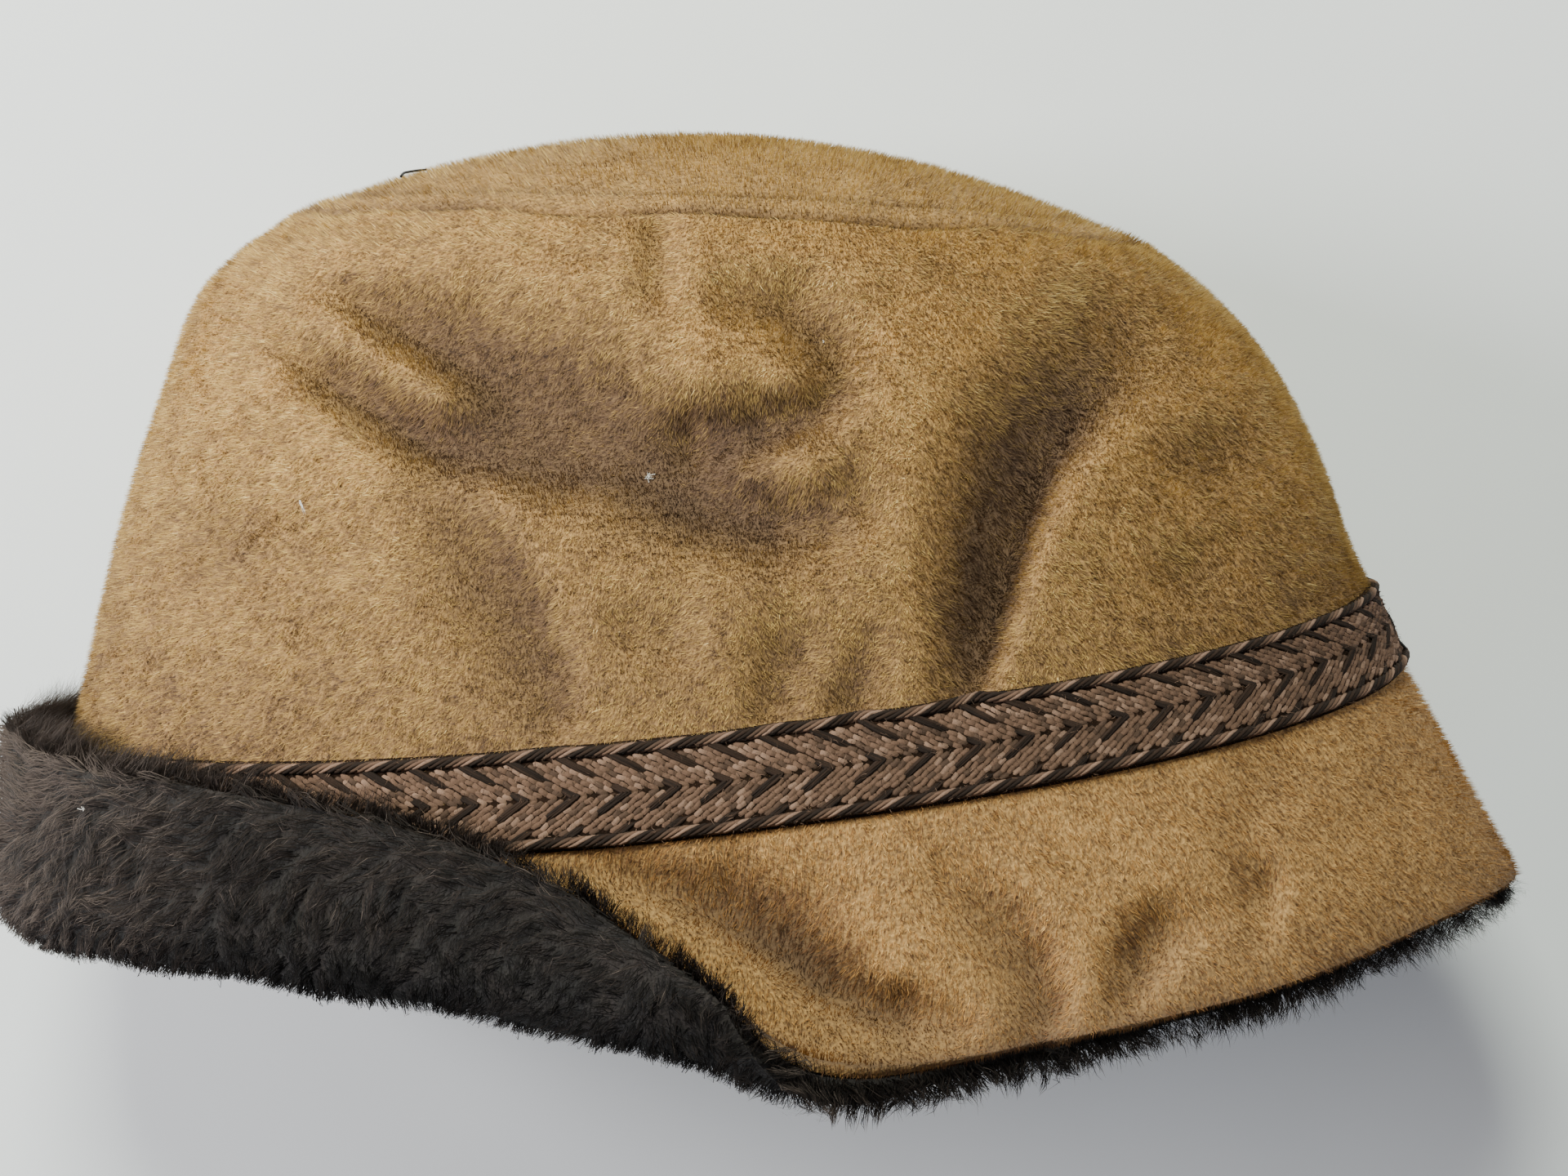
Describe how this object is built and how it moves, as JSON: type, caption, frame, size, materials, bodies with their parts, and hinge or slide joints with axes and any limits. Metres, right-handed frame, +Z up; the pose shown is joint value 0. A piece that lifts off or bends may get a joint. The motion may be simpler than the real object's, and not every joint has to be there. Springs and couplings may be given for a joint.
{
  "type": "alpine hat",
  "caption": "Soft wool alpine hat lying on its side: dented crown with an oval tip, braided band, and a fur-lined brim turned down in front and up at the back.",
  "frame": {"origin": "on the table under the middle of the bounding box of the hat as it lies on its side", "axes": "+X towards the front of the hat, +Y towards the tip of the crown, +Z up off the table"},
  "size_m": [0.2915, 0.1779, 0.1566],
  "materials": {
    "camel_wool_velour": "brushed wool velour with a short nap",
    "brown_braid_yarn": "flat braid of matt wool yarn",
    "dark_brown_fur": "soft pile fur"
  },
  "bodies": {
    "root": {"crown_tip": "camel_wool_velour", "crown_wall": "camel_wool_velour", "brim": "camel_wool_velour", "braid_band": "brown_braid_yarn", "fur_lining": "dark_brown_fur"}
  },
  "joints": []
}
